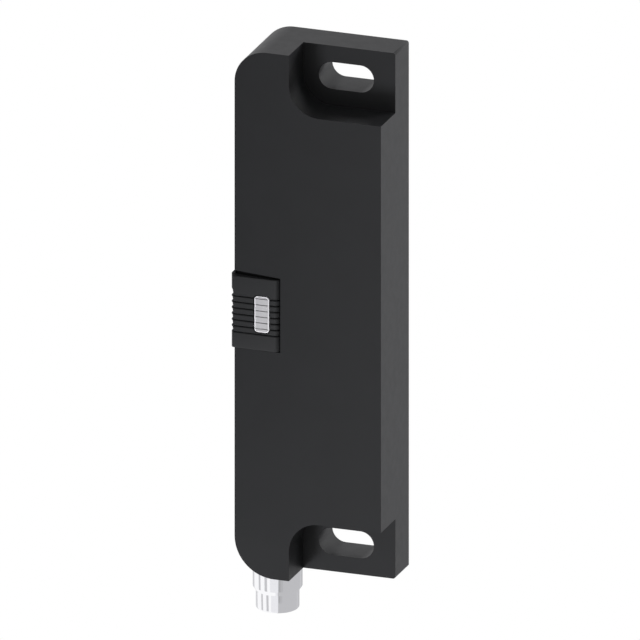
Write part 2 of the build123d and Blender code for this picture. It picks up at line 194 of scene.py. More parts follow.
def skin(name, dark, light, roughness, spread, drift=6 * mm, grain=0.12 * mm, depth=0.004 * mm,
         **sockets):
    """Colour = dark to light by slow noise; roughness = its middle plus or minus spread by finer
    noise; height = the finest noise times depth. Other sockets are set to plain numbers."""
    material = bpy.data.materials.new(name)
    material.use_nodes = True
    tree = material.node_tree
    shader = tree.nodes["Principled BSDF"]
    for socket, value in sockets.items():
        shader.inputs[socket.replace("_", " ")].default_value = value
    mix = add_node(tree, "Mix", data_type="RGBA")
    mix.inputs["A"].default_value = (*dark, 1.0)
    mix.inputs["B"].default_value = (*light, 1.0)
    tree.links.new(between(tree, noise(tree, drift), 0.0, 1.0), mix.inputs["Factor"])
    tree.links.new(mix.outputs["Result"], shader.inputs["Base Color"])
    tree.links.new(between(tree, noise(tree, drift / 4), roughness - spread, roughness + spread),
                   shader.inputs["Roughness"])
    bump = add_node(tree, "Bump")
    bump.inputs["Distance"].default_value = depth
    bump.inputs["Strength"].default_value = 1.0
    tree.links.new(noise(tree, grain), bump.inputs["Height"])
    tree.links.new(bump.outputs["Normal"], shader.inputs["Normal"])
    return material


def tint_by_painted_light(material):
    """Multiplies the colour by the tone of the mesh at each point: painted highlight and shade.
    """
    tree = material.node_tree
    tone = add_node(tree, "Attribute", attribute_name="tone")
    tinted = add_node(tree, "VectorMath", operation="SCALE")
    colour = tree.nodes["Principled BSDF"].inputs["Base Color"]
    tree.links.new(colour.links[0].from_socket, tinted.inputs["Vector"])
    tree.links.new(tone.outputs["Fac"], tinted.inputs["Scale"])
    tree.links.new(tinted.outputs["Vector"], colour)


# %% The finishes of this switch
housing_plastic = skin("housing_plastic", (0.0150, 0.0154, 0.0166), (0.0162, 0.0166, 0.0180),
                       0.44, 0.02, Specular_IOR_Level=0.30)
cover_plastic = skin("cover_plastic", (0.013, 0.0135, 0.0145), (0.0145, 0.015, 0.016), 0.5, 0.03,
                     Specular_IOR_Level=0.30)
band_plastic = skin("band_plastic", (0.0205, 0.021, 0.0225), (0.022, 0.0225, 0.024), 0.42, 0.02,
                    grain=0.08 * mm, depth=0.002 * mm, Specular_IOR_Level=0.30)
window_plastic = skin("window_plastic", (0.955, 0.943, 0.995), (0.975, 0.963, 1.0), 0.22, 0.03,
                      depth=0.0005 * mm, Coat_Weight=0.4, Coat_Roughness=0.06)
# The window's colour carries a painted highlight on its rim and painted shade in its cuts.
tint_by_painted_light(window_plastic)
lamp_plastic = skin("lamp_plastic", (0.80, 0.62, 0.22), (0.86, 0.70, 0.30), 0.25, 0.03,
                    depth=0.001 * mm)
nickel = skin("nickel", (0.92, 0.92, 0.94), (0.95, 0.95, 0.97), 0.07, 0.015, grain=0.2 * mm,
              depth=0.0001 * mm, Metallic=1.0)
insert_plastic = skin("insert_plastic", (0.018, 0.018, 0.02), (0.024, 0.024, 0.026), 0.4, 0.05)
gold_plate = skin("gold_plate", (0.82, 0.60, 0.24), (0.88, 0.67, 0.30), 0.2, 0.04,
                  depth=0.0005 * mm, Metallic=1.0)
seal_rubber = skin("seal_rubber", (0.02, 0.02, 0.02), (0.03, 0.03, 0.03), 0.75, 0.05)
casting_resin = skin("casting_resin", (0.035, 0.03, 0.027), (0.05, 0.045, 0.04), 0.25, 0.08)
board_laminate = skin("board_laminate", (0.02, 0.17, 0.07), (0.03, 0.22, 0.09), 0.35, 0.06)
reed_metal = skin("reed_metal", (0.58, 0.56, 0.52), (0.64, 0.62, 0.58), 0.32, 0.06,
                  depth=0.001 * mm, Metallic=1.0)
reed_glass = skin("reed_glass", (0.62, 0.82, 0.68), (0.66, 0.86, 0.72), 0.04, 0.01,
                  depth=0.0003 * mm, Transmission_Weight=1.0, IOR=1.5)
magnet_ferrite = skin("magnet_ferrite", (0.07, 0.07, 0.075), (0.12, 0.12, 0.13), 0.6, 0.1)
resistor_coating = skin("resistor_coating", (0.03, 0.03, 0.034), (0.045, 0.045, 0.05), 0.4, 0.05)
solder_metal = skin("solder_metal", (0.62, 0.62, 0.63), (0.72, 0.72, 0.73), 0.3, 0.1,
                    Metallic=1.0)
wire_finishes = {
    "wire_1": skin("wire_brown", (0.16, 0.07, 0.03), (0.20, 0.09, 0.035), 0.45, 0.05),
    "wire_2": skin("wire_white", (0.74, 0.74, 0.72), (0.80, 0.80, 0.78), 0.45, 0.05),
    "wire_3": skin("wire_blue", (0.04, 0.13, 0.42), (0.05, 0.16, 0.50), 0.45, 0.05),
    "wire_4": skin("wire_black", (0.02, 0.02, 0.02), (0.03, 0.03, 0.03), 0.45, 0.05),
}
print("finishes made:", len(bpy.data.materials))

# %% [markdown]
# ## Pieces that keep their solid
#
# The board, the reeds, the wires and the other inner pieces are sealed in. Their solids have the
# right shape, so each only gets its finish, in the material slot of its own object.

# %% Finishes for the solids that stay
kept = {"status_lamp": lamp_plastic, "circuit_board": board_laminate,
        "bias_magnet": magnet_ferrite, "connector_insert": insert_plastic,
        "sealing_ring": seal_rubber, "resin_plug": casting_resin, "solder_joints": solder_metal,
        "lamp_resistor": resistor_coating, "open_reed_resistor": resistor_coating,
        "closed_reed_resistor": resistor_coating, **wire_finishes}
for reed in ("open_reed", "closed_reed"):
    kept[reed + "_tube"] = reed_glass
    for end in ("lower", "upper"):
        kept["%s_%s_lead" % (reed, end)] = reed_metal
        kept["%s_%s_blade" % (reed, end)] = reed_metal
for name, finish in kept.items():
    nodes[name].data.materials.clear()
    nodes[name].data.materials.append(finish)
print("solids with a finish:", len(kept))

# %% [markdown]
# ## Sizes
#
# The finer surfaces start from the same sizes as the solids. x runs across the housing, y from
# the front to the mounting face, and z up. The outer sizes were measured in the photograph. The
# walls and the hollow behind them can't be seen there and are guessed. The band and the window
# were fitted to the picture once more, so theirs differ a little from the solids'.

# %% Sizes of the housing
left, right, front = -12.25 * mm, 12.25 * mm, -13.0 * mm
top, bottom = 44.0 * mm, -44.0 * mm
lug_face = front + 6.7 * mm
pocket_side = left + 9.1 * mm
pocket_floor = 34.0 * mm
slot_x, slot_z = right - 8.2 * mm, 39.0 * mm
slot_half_length, slot_half_width = 4.6 * mm, 2.25 * mm
plug_x, plug_y = left + 4.61 * mm, front + 7.2 * mm
front_inside, side_wall, pocket_wall = front + 1.6 * mm, 1.5 * mm, 1.3 * mm
hollow_low, hollow_high, hollow_middle = bottom + 5 * mm, 42.5 * mm, 32.5 * mm
cover_thickness, cover_grow, rebate_grow = 1.2 * mm, 0.62 * mm, 0.7 * mm
print("housing, in mm:", (right - left) / mm, -front / mm, (top - bottom) / mm)

# %% [markdown]
# ## Outlines and prisms
#
# Nearly everything here is moulded between two tools, so its walls run straight from front to
# back. Such a piece is an outline with rounded corners, drawn once and pushed through the
# depth. A turned piece is a half section carried round an axis. Both are closed grids.

# %% Rounded outline, prism and turned shape
def rounded(corners, steps=10):
    """Outline of a polygon given as (across, up, radius) for each corner. The arc's centre lies
    on the halving line, radius / sin(half angle) from the corner. Its points turn evenly from
    the first tangent point u to the second one v:
    (sin((1 - t) turn) u + sin(t turn) v) / sin(turn), with t from 0 to 1."""
    table = np.asarray(corners, float)
    point, radius = table[:, :2], table[:, 2:]
    before = np.roll(point, 1, axis=0) - point
    after = np.roll(point, -1, axis=0) - point
    before /= np.linalg.norm(before, axis=1, keepdims=True)
    after /= np.linalg.norm(after, axis=1, keepdims=True)
    half = np.arccos(np.sum(before * after, axis=1, keepdims=True)) / 2
    halving = (before + after) / np.linalg.norm(before + after, axis=1, keepdims=True)
    centre = point + halving * radius / np.sin(half)
    u = point + before * radius / np.tan(half) - centre
    v = point + after * radius / np.tan(half) - centre
    turn = (pi - 2 * half)[:, :, None]
    t = np.linspace(0.0, 1.0, steps)[None, :, None]
    arcs = (np.sin((1 - t) * turn) * u[:, None] + np.sin(t * turn) * v[:, None]) / np.sin(turn)
    return (centre[:, None] + arcs).reshape(-1, 2)


def circle(x, z, radius, steps=48):
    """Outline of a circle: centre plus radius times (cos, sin) of an evenly growing angle."""
    angle = np.linspace(0.0, 2 * pi, steps, endpoint=False)
    return np.column_stack([x + radius * np.cos(angle), z + radius * np.sin(angle)])


def tidy(mesh, merge=0.0002 * mm):
    """Merges doubled points, which also closes poles, and turns the faces outwards."""
    shape = bmesh.new()
    shape.from_mesh(mesh)
    bmesh.ops.remove_doubles(shape, verts=shape.verts, dist=merge)
    bmesh.ops.recalc_face_normals(shape, faces=shape.faces)
    shape.to_mesh(mesh)
    shape.free()
    return mesh


def flatten(mesh, merge=0.002 * mm, flat=0.2):
    """Merges points that all but meet, and joins faces that differ by less than flat degrees."""
    shape = bmesh.new()
    shape.from_mesh(mesh)
    bmesh.ops.remove_doubles(shape, verts=shape.verts, dist=merge)
    bmesh.ops.dissolve_limit(shape, angle_limit=radians(flat), verts=shape.verts,
                             edges=shape.edges)
    shape.to_mesh(mesh)
    shape.free()


def prism(name, outline, low, high, axis="y"):
    """The outline at two depths, joined by side faces, with a lid at each end. With axis z the
    outline is (x, y) and the depth is up; with axis y it is (x, z) and the depth is y."""
    count = len(outline)
    depth = np.repeat([low, high], count)
    first, second = np.tile(outline, (2, 1)).T
    points = np.column_stack([first, depth, second] if axis == "y" else [first, second, depth])
    sides = grid_faces(2, count, close_columns=True)
    return tidy(mesh_from(name, points, sides, end_lids(2, count)))


def turned(name, section, x, y, steps=96):
    """A closed half section of (radius, height) points carried round the upright axis at x, y:
    each point becomes (x + r cos a, y + r sin a, z) for the angle a from 0 to a full turn."""
    angle = np.linspace(0.0, 2 * pi, steps, endpoint=False)[:, None]
    radius, height = section[:, 0][None], section[:, 1][None]
    points = np.stack([x + radius * np.cos(angle), y + radius * np.sin(angle),
                       np.broadcast_to(height, (steps, len(section)))], axis=-1)
    faces = grid_faces(steps, len(section), close_rows=True, close_columns=True)
    return tidy(mesh_from(name, points.reshape(-1, 3), faces))


def cut(body, *tools, how="DIFFERENCE"):
    """Takes each tool's volume out of the body, or adds it, and returns the finished mesh."""
    holder = add_object("blank", body)
    helpers = []
    for tool in tools:
        helper = add_object("tool", tool)
        step = holder.modifiers.new("cut", "BOOLEAN")
        step.operation = how
        step.object = helper
        helpers.append(helper)
    bpy.context.view_layer.update()
    seen = holder.evaluated_get(bpy.context.evaluated_depsgraph_get())
    result = bpy.data.meshes.new_from_object(seen)
    for item in helpers + [holder]:
        bpy.data.objects.remove(item)
    return result


def soften(piece, width, segments=3, angle=35.0):
    """Rounds every edge sharper than the angle, and lets the large faces keep their normals."""
    bevel = piece.modifiers.new("moulded edge", "BEVEL")
    bevel.limit_method = "ANGLE"
    bevel.angle_limit = radians(angle)
    bevel.width = width
    bevel.segments = segments
    bevel.use_clamp_overlap = True
    bevel.miter_outer = "MITER_ARC"
    weighted = piece.modifiers.new("flat faces stay flat", "WEIGHTED_NORMAL")
    weighted.mode = "FACE_AREA"
    weighted.weight = 100
    weighted.keep_sharp = False


# %% [markdown]
# ## Housing
#
# The housing starts as one prism. Its outline has large rounds on the left, where the connector
# sits, and small ones on the lug side. Two pockets are cut down to the lugs, a slot goes through
# each lug, and the hollow with its rebate is cut from behind. The seat of the band, the window's
# opening and the stepped bore of the connector follow, and the posts for the board are added.
# Last, every edge gets the small rounding of a moulding tool. A slot's rounds stay a hair under
# half its width, so that its short sides keep a length.

# %% Tools that shape the housing
def box_outline(x_low, x_high, z_low, z_high, radius=0.0):
    """Rectangle between four limits, with one radius at its corners."""
    return rounded([(x_low, z_low, radius), (x_high, z_low, radius), (x_high, z_high, radius),
                    (x_low, z_high, radius)])


def pocket_tool(end):
    """Space over a lug: only the inner corner is rounded, the rest lies outside the housing."""
    past = 20 * mm
    outline = rounded([(pocket_side, end * pocket_floor, 5.0 * mm),
                       (right + past, end * pocket_floor, 0.0),
                       (right + past, end * (top + past), 0.0),
                       (pocket_side, end * (top + past), 0.0)], steps=16)
    return prism("pocket", outline, front - past, lug_face)


def hollow_outline(grow):
    """The hollow seen from the front, moved outwards by grow: outer rounds grow, inner shrink."""
    west, east = left + side_wall - grow, right - side_wall + grow
    strip = pocket_side - pocket_wall + grow
    low, high = hollow_low - grow, hollow_high + grow
    middle_low, middle_high = -hollow_middle - grow, hollow_middle + grow
    small, inner = 1.0 * mm + grow, 5.0 * mm - grow
    return rounded([(west, low, small), (strip, low, small), (strip, middle_low, inner),
                    (east, middle_low, small), (east, middle_high, small),
                    (strip, middle_high, inner), (strip, high, small),
                    (west, high, 3.8 * mm + grow)], steps=12)


housing_outline = rounded([(left, bottom, 6.6 * mm), (right, bottom, 0.4 * mm),
                           (right, top, 0.4 * mm), (left, top, 5.3 * mm)], steps=20)
tools = [pocket_tool(1), pocket_tool(-1)]
slot_round = slot_half_width * 0.999
for end in (1, -1):
    slot = box_outline(slot_x - slot_half_length, slot_x + slot_half_length,
                       end * slot_z - slot_half_width, end * slot_z + slot_half_width,
                       slot_round)
    tools.append(prism("slot", slot, lug_face - mm, mm))
tools.append(prism("hollow", hollow_outline(0.0), front_inside, mm))
tools.append(prism("rebate", hollow_outline(rebate_grow), -cover_thickness, mm))
print("tools for the housing:", len(tools))

# %% [markdown]
# The band's seat goes round the corner. Its front part has a slanted top, so the gap above the
# band widens to the left. Its flank part fits the band closely, and reaches higher behind the
# corner, where the band does. At the corner a thin lip of the housing stays above and below it,
# so no light shows through there.

# %% Seat of the band and window opening
seat_depth, seat_lip = 0.55 * mm, 0.12 * mm
seat_right, seat_rear, seat_corner = left + 7.65 * mm, front + 10.65 * mm, front + 0.6 * mm
seat_low, seat_high_left, seat_high_right = -5.95 * mm, 7.0 * mm, 6.47 * mm
flank_low, flank_high = -5.87 * mm, 6.26 * mm
flank_top_low, flank_top_high = 6.0 * mm, 6.76 * mm
window_x, window_z = left + 4.69 * mm, 0.24 * mm
window_half_width, window_half_height = 1.21 * mm, 2.98 * mm
window_corner, window_gap = 0.5 * mm, 0.16 * mm


def window_outline(grow):
    """The window's rounded rectangle, moved outwards by grow."""
    return box_outline(window_x - window_half_width - grow, window_x + window_half_width + grow,
                       window_z - window_half_height - grow,
                       window_z + window_half_height + grow, window_corner + grow)


front_seat = rounded([(left + seat_lip, seat_low, 0.0), (seat_right, seat_low, 0.0),
                      (seat_right, seat_high_right, 0.0),
                      (left + seat_lip, seat_high_left, 0.0)], steps=2)
flank_seat = box_outline(left - mm, left + seat_depth, front - mm, seat_rear)
flank_top = box_outline(left - mm, left + seat_depth, seat_corner, seat_rear)
tools.append(prism("front_seat", front_seat, front - mm, front + seat_depth))
tools.append(prism("flank_seat", flank_seat, flank_low, flank_high, axis="z"))
tools.append(prism("flank_seat_top", flank_top, flank_top_low, flank_top_high, axis="z"))
tools.append(prism("window opening", window_outline(window_gap), front - mm, front_inside + mm))
print("tools for the housing:", len(tools))

# %% [markdown]
# The connector's bore is stepped, wide for the collar and narrow behind it. Four posts carry the
# board, and pins on two of them locate it. The cuts leave flat walls in many small faces, so
# faces that lie in one plane are joined before the edges are rounded.

# %% Bore and posts, then the whole housing
collar_bore, shank_bore = 4.0 * mm, 3.02 * mm
shoulder, bore_end = bottom + 3.4 * mm, bottom + 7 * mm
tools.append(turned("bore", np.array([(0, bottom - mm), (collar_bore, bottom - mm),
                                      (collar_bore, shoulder), (shank_bore, shoulder),
                                      (shank_bore, bore_end), (0, bore_end)]),
                    plug_x, plug_y))
housing_mesh = cut(prism("housing_shell", housing_outline, front, 0.0), *tools)

post_places = np.array([(-8.45, 30.2), (8.45, -30.2), (8.45, 30.2), (-8.45, -19.2)]) * mm
post_radius, post_root, board_front = 1.3 * mm, front_inside - 0.3 * mm, -7.8 * mm
locator_radius, locator_low, locator_high = 0.5 * mm, -8.4 * mm, -6.2 * mm
posts = [prism("post", circle(x, z, post_radius, 32), post_root, board_front)
         for x, z in post_places]
posts += [prism("pin", circle(x, z, locator_radius, 24), locator_low, locator_high)
          for x, z in post_places[:2]]
housing_mesh = cut(housing_mesh, *posts, how="UNION")
flatten(housing_mesh)
housing_shell = place("housing_shell", housing_mesh, housing_plastic,
                      "switch", ["housing"], crease=35.0)
soften(housing_shell, 0.09 * mm)

# %% [markdown]
# ## Rear cover
#
# The cover fills the rebate at the back and lies level with the mounting face. It is the
# hollow's outline again, a little smaller than the rebate, so a fine joint shows round it.

# %% Rear cover
rear_lid = place("rear_lid", prism("rear_lid", hollow_outline(cover_grow), -cover_thickness,
                                   0.0),
                 cover_plastic, "switch", ["rear_cover"], crease=35.0)
soften(rear_lid, 0.12 * mm)

# %% [markdown]
# ## Ribbed band
#
# The band is one plan section, an angle with rounded ends, stacked in rows up the height. Where
# a row lies in a groove, the outer skin of the section moves inwards along its own normal.

# %% Plan and rows of the band
proud, band_inner = 0.45 * mm, 0.5 * mm
band_right, band_rear = left + 7.6 * mm, front + 10.6 * mm
band_low, band_high, rim_radius = -5.8 * mm, 6.2 * mm, 0.15 * mm
groove_heights = (np.arange(7) - 3.0) * mm - 0.165 * mm
arc_steps = 12


def band_plan():
    """Closed plan of the band, dense enough to bend the grooves round it, with each point's
    outward normal and its share in the grooves: 1 on the skin, 0 on the hidden inner faces."""
    skin_x, skin_y = left - proud, front - proud
    corners = [(band_right, front + band_inner, 0.0), (band_right, skin_y, 0.9 * mm),
               (skin_x, skin_y, 0.5 * mm), (skin_x, band_rear, 0.6 * mm),
               (left + band_inner, band_rear, 0.0),
               (left + band_inner, front + band_inner, 0.0)]
    plan = rounded(corners, steps=arc_steps)
    share = np.repeat([0.0, 1.0, 1.0, 1.0, 0.0, 0.0], arc_steps)
    along = np.roll(plan, -1, axis=0) - np.roll(plan, 1, axis=0)
    length = np.linalg.norm(along, axis=1, keepdims=True)
    normal = np.column_stack([along[:, 1], -along[:, 0]]) / np.maximum(length, 1e-9)
    probe = arc_steps + arc_steps // 2
    outward = np.sign(np.sum(normal[probe] * (plan[probe] - plan.mean(axis=0))))
    return plan, normal * outward, share


def band_rows():
    """Heights of the rows: four at each rounded rim, eleven across every groove and eight more
    over the scoop above the top groove."""
    rim = np.array([0.0, 0.03, 0.08, 0.15]) * mm
    across = np.linspace(-0.5, 0.5, 11) * mm
    rows = np.concatenate([band_low + rim, (groove_heights[:, None] + across).ravel(),
                           groove_heights[-1] + np.linspace(0.45, 1.3, 8) * mm,
                           band_high - rim])
    return np.unique(np.round(rows, 8))


plan, plan_normal, share = band_plan()
rows = band_rows()
print("band: points round the plan", len(plan), "rows", len(rows))

# %% [markdown]
# Round the corner, on the flank, each groove rises by half a millimetre and gets wider and
# deeper, so the band's outline on the left shows notches. Above the top groove the flank is
# scooped out, and its upper edge stands half a millimetre higher than the front's.

# %% Grooves and the finished band
groove_depth, flank_deeper = 0.28 * mm, 0.4
half_groove, flank_wider = 0.15, 0.24  # in mm
notch_rise, scoop_height, corner_turn = 0.52 * mm, 0.7 * mm, 0.08 * mm
flank_lift, lift_start, lift_turn = 0.5 * mm, 4.4 * mm, 0.2 * mm
lift_before, lift_behind = 0.3 * mm, -0.7 * mm


def band_depth(rows, share, flank):
    """How far the skin lies behind its plain place. Groove: depth (1 - |z - centre| / half
    width), not under 0. Rim: a quarter round. Scoop: falls from the groove's depth to 0 over
    its height above the top groove, on the flank only. The flank's share, 0 to 1, raises,
    widens and deepens them."""
    z = rows[:, None]
    lowered = z - notch_rise * flank[None]
    half_width = (half_groove + flank_wider * flank[None]) * mm
    distance = np.abs(lowered[:, :, None] - groove_heights[None, None]).min(axis=2)
    deepest = groove_depth * (1.0 + flank_deeper * flank[None])
    groove = deepest * np.clip(1.0 - distance / half_width, 0.0, 1.0)
    above = (lowered - groove_heights[-1]) / scoop_height
    scoop = deepest * np.clip(1.0 - above, 0.0, 1.0) * (above > 0.0) * flank[None]
    edge = np.clip(rim_radius - np.minimum(z - band_low, band_high - z), 0.0, None)
    rim = rim_radius - np.sqrt(np.clip(rim_radius ** 2 - edge ** 2, 0.0, None))
    return (np.maximum(groove, scoop) + rim) * share[None]


def band_heights(rows, plan):
    """Height of each point: its row's, plus the lift times two shares that grow from 0 to 1.
    One grows with the row's height above the start of the lift. The other grows with the depth
    y, from just before the housing's front on the skin, and from behind it elsewhere."""
    outside = plan[:, 0] < left
    behind = plan[:, 1] - front + np.where(outside, lift_before, lift_behind)
    stretch = np.clip((rows - lift_start) / (band_high - lift_start), 0.0, 1.0)
    return rows[:, None] + flank_lift * stretch[:, None] * np.clip(behind / lift_turn, 0.0, 1.0)


flank = np.clip((plan[:, 1] - front + proud) / corner_turn, 0.0, 1.0) * (plan[:, 0] < left)
depth = band_depth(rows, share, flank)
skin_points = plan[None] - depth[:, :, None] * plan_normal[None]
band_points = np.concatenate([skin_points, band_heights(rows, plan)[:, :, None]], axis=2)
band_mesh = tidy(mesh_from("ribbed_band", band_points.reshape(-1, 3),
                           grid_faces(len(rows), len(plan), close_columns=True),
                           end_lids(len(rows), len(plan))))
band_mesh = cut(band_mesh, prism("opening", window_outline(window_gap), front - 2 * mm,
                                 front + 2 * mm))
place("ribbed_band", band_mesh, band_plastic, "switch", ["marker_band"],
      crease=28.0)

# %% [markdown]
# ## Light window
#
# The window is a milky lens of clear plastic. Its face is level with the band, its rim is
# bevelled, and the band's lines go on across it as fine cuts. The face is a height field: for
# each point the distance to the rounded rim decides how far the bevel has fallen.

# %% The lens of the light window
rim_width, rim_slope = 0.22 * mm, 0.3
line_half, line_cut, lens_rear = 0.09 * mm, 0.06 * mm, -8.9 * mm


def rim_distance(x, z, radius=window_corner):
    """Distance inwards from a rounded rectangle: with q the point's place past the straight
    part of its corner, radius - |q| outside that corner, and the nearer side otherwise."""
    qx = np.abs(x - window_x) - window_half_width + radius
    qz = np.abs(z - window_z) - window_half_height + radius
    return radius - np.hypot(np.maximum(qx, 0), np.maximum(qz, 0)) - np.minimum(
        np.maximum(qx, qz), 0)


def window_lens(columns=40):
    """Rows up the height, each a closed loop: across the front face and back along the rear.
    The front lies at face + bevel fall + line cut; the rear is flat. A row is as wide as the
    rounded rectangle is at its height."""
    even = window_z + np.linspace(-1, 1, 60) * window_half_height
    near_rim = window_half_height - np.linspace(0.0, 0.5, 14) * mm
    cuts = (groove_heights[1:, None] + np.array([-0.09, -0.05, 0.0, 0.05, 0.09]) * mm).ravel()
    z = np.unique(np.round(np.concatenate([even, window_z + near_rim, window_z - near_rim,
                                           cuts]), 8))[:, None]
    in_corner = np.maximum(np.abs(z - window_z) - window_half_height + window_corner, 0.0)
    half = window_half_width - window_corner + np.sqrt(
        np.clip(window_corner ** 2 - in_corner ** 2, 0.0, None))
    u = np.sin(np.linspace(-pi / 2, pi / 2, columns))[None]
    x = window_x + half * u
    inward = rim_distance(x, np.broadcast_to(z, x.shape))
    fall = np.clip(rim_width - inward, 0.0, rim_width)
    line = np.clip(1.0 - np.abs(z[:, :, None] - groove_heights[1:]).min(axis=2) / line_half,
                   0.0, 1.0) * (inward > rim_width)
    face = front - proud + rim_slope * fall + line_cut * line
    rear = np.full_like(face, lens_rear)
    loop_x = np.concatenate([x, x[:, ::-1]], axis=1)
    loop_y = np.concatenate([face, rear[:, ::-1]], axis=1)
    loop_z = np.broadcast_to(z, loop_x.shape)
    points = np.stack([loop_x, loop_y, loop_z], axis=-1)
    rows, around = loop_x.shape
    return tidy(mesh_from("window_lens", points.reshape(-1, 3),
                          grid_faces(rows, around, close_columns=True),
                          end_lids(rows, around)), 0.00005 * mm)


lens_mesh = window_lens()
print("lens: points", len(lens_mesh.vertices))

# %% [markdown]
# The clear rim of the lens gathers light, so a painted highlight makes it brighter than its milky
# field, and painted shade makes the cuts darker. A tone at each point of the mesh says which of
# the three it is. Behind the front wall a flange keeps the window from being pushed out.

# %% Painted highlight and shade of the lens, and the flange behind it
flange_half_width, flange_half_height, flange_thickness = 2 * mm, 3.8 * mm, 0.8 * mm
# Widths of the painted highlight along the rim and of the painted shade along each cut.
rim_highlight_band, cut_shade_band = 0.15 * mm, 0.06 * mm


def paint_rim_highlight_and_cut_shade(mesh, field=0.46, rim=0.84, line=0.12):
    """Writes a grey tone at each point: rim, a painted highlight, where the bevel is; line,
    painted shade, in the cuts; field between them."""
    co = np.empty(len(mesh.vertices) * 3, np.float32)
    mesh.vertices.foreach_get("co", co)
    x, y, z = co.reshape(-1, 3).T.astype(float)
    inward = rim_distance(x, z)
    nearest = np.abs(z[:, None] - groove_heights[1:]).min(axis=1)
    tone = np.where(inward < rim_highlight_band, rim, np.where(nearest < cut_shade_band, line, field))
    attribute = mesh.attributes.new("tone", "FLOAT", "POINT")
    attribute.data.foreach_set("value", tone.astype(np.float32))


paint_rim_highlight_and_cut_shade(lens_mesh)
place("window_lens", lens_mesh, window_plastic, "switch", ["light_window"],
      crease=25.0)
flange = box_outline(window_x - flange_half_width, window_x + flange_half_width,
                     window_z - flange_half_height, window_z + flange_half_height, 0.2 * mm)
place("window_flange", prism("window_flange", flange, front_inside,
                             front_inside + flange_thickness),
      window_plastic, "switch")

# %% [markdown]
# ## Connector
#
# The plug is a turned part with a bright nickel skin. Its half section is a closed polygon whose
# corners carry the small radii of the turning tool. A key rib stands inside the mouth, so the
# socket goes on in one way only.

# %% Connector sleeve
mouth, nose_top, collar_low = bottom - 7.2 * mm, bottom - 4.23 * mm, bottom - 3.48 * mm
collar_top, socket_end, shank_top = bottom + 2.7 * mm, bottom + 1.7 * mm, bottom + 7.0 * mm
nose_radius, collar_radius, shank_radius = 3.45 * mm, 3.95 * mm, 3.0 * mm
socket_radius, throat_radius = 2.75 * mm, 2.52 * mm
sleeve_section = rounded([
    (socket_radius, mouth, 0.1 * mm), (nose_radius, mouth, 0.3 * mm),
    (nose_radius, nose_top, 0.1 * mm), (collar_radius, collar_low, 0.12 * mm),
    (collar_radius, collar_top, 0.1 * mm), (shank_radius, collar_top, 0.05 * mm),
    (shank_radius, shank_top, 0.1 * mm), (throat_radius, shank_top, 0.05 * mm),
    (throat_radius, socket_end, 0.05 * mm), (socket_radius, socket_end, 0.05 * mm)],
    steps=5)
place("plug_sleeve", turned("plug_sleeve", sleeve_section, plug_x, plug_y, steps=144), nickel,
      "switch", ["connector_sleeve"], crease=28.0)
key_plan = box_outline(plug_x - 0.4 * mm, plug_x + 0.4 * mm, plug_y - 2.95 * mm,
                       plug_y - 2.3 * mm, 0.1 * mm)
place("plug_key", prism("plug_key", key_plan, mouth + 0.3 * mm, bottom - 2.9 * mm, axis="z"),
      nickel, "switch")

# %% [markdown]
# Each contact pin has a domed tip, so that the socket's springs slide on to it.

# %% Contact pins
pin_offset, pin_radius, pin_dome = 1.25 * mm, 0.5 * mm, 0.4 * mm
pin_tip, pin_end = mouth + 0.8 * mm, -35.8 * mm
pin_section = rounded([(0.0, pin_tip, 0.0), (pin_radius, pin_tip, pin_dome),
                       (pin_radius, pin_end, 0.05 * mm), (0.0, pin_end, 0.0)], steps=6)
for number, (x, y) in enumerate([(-1, -1), (1, -1), (-1, 1), (1, 1)], 1):
    name = "pin_%d" % number
    place(name, turned(name, pin_section, plug_x + x * pin_offset, plug_y + y * pin_offset,
                       steps=32),
          gold_plate, "switch", ["contact_pin_%d" % number], crease=40.0)

# %% [markdown]
# ## Studio
#
# In use the switch hangs on a frame, so the pale floor lies well below it and its shadow falls
# out of the picture. The floor is a disc that fades to white towards its rim, where it meets the
# white of the world. Mirrors and glass see it as plain white.

# %% Floor
def ray_is(tree, *kinds):
    """1 where the ray is of any of these kinds, else 0: the largest of Light Path's outputs."""
    rays = add_node(tree, "LightPath")
    found = rays.outputs[kinds[0]]
    for kind in kinds[1:]:
        either = add_node(tree, "Math", operation="MAXIMUM")
        tree.links.new(found, either.inputs[0])
        tree.links.new(rays.outputs[kind], either.inputs[1])
        found = either.outputs["Value"]
    return found


floor_radius, floor_height, floor_steps = 0.25, -0.24, 96
floor_points = np.column_stack([circle(0.0, 0.0, floor_radius, floor_steps),
                                np.full(floor_steps, floor_height)])
floor_mesh = mesh_from("floor", floor_points, np.arange(floor_steps)[None])
floor = add_object("floor", floor_mesh)
floor_paint = skin("floor_paint", (0.80, 0.80, 0.80), (0.82, 0.82, 0.82), 0.7, 0.05,
                   drift=80 * mm, grain=2 * mm, depth=0.05 * mm)
floor_mesh.materials.append(floor_paint)
tree = floor_paint.node_tree
glow = add_node(tree, "Emission")
either_look = add_node(tree, "MixShader")
level_only = add_node(tree, "VectorMath", operation="MULTIPLY")
level_only.inputs[1].default_value = (1.0, 1.0, 0.0)
from_middle = add_node(tree, "VectorMath", operation="LENGTH")
place_node = add_node(tree, "TexCoord")
tree.links.new(place_node.outputs["Object"], level_only.inputs[0])
tree.links.new(level_only.outputs["Vector"], from_middle.inputs[0])
fade = add_node(tree, "MapRange", interpolation_type="SMOOTHSTEP")
fade.inputs["From Min"].default_value = 0.4 * floor_radius
fade.inputs["From Max"].default_value = 0.98 * floor_radius
tree.links.new(from_middle.outputs["Value"], fade.inputs["Value"])
whiter = add_node(tree, "Math", operation="MAXIMUM")
tree.links.new(ray_is(tree, "Is Glossy Ray", "Is Transmission Ray"), whiter.inputs[0])
tree.links.new(fade.outputs["Result"], whiter.inputs[1])
tree.links.new(whiter.outputs["Value"], either_look.inputs["Fac"])
tree.links.new(tree.nodes["Principled BSDF"].outputs["BSDF"], either_look.inputs[1])
tree.links.new(glow.outputs["Emission"], either_look.inputs[2])
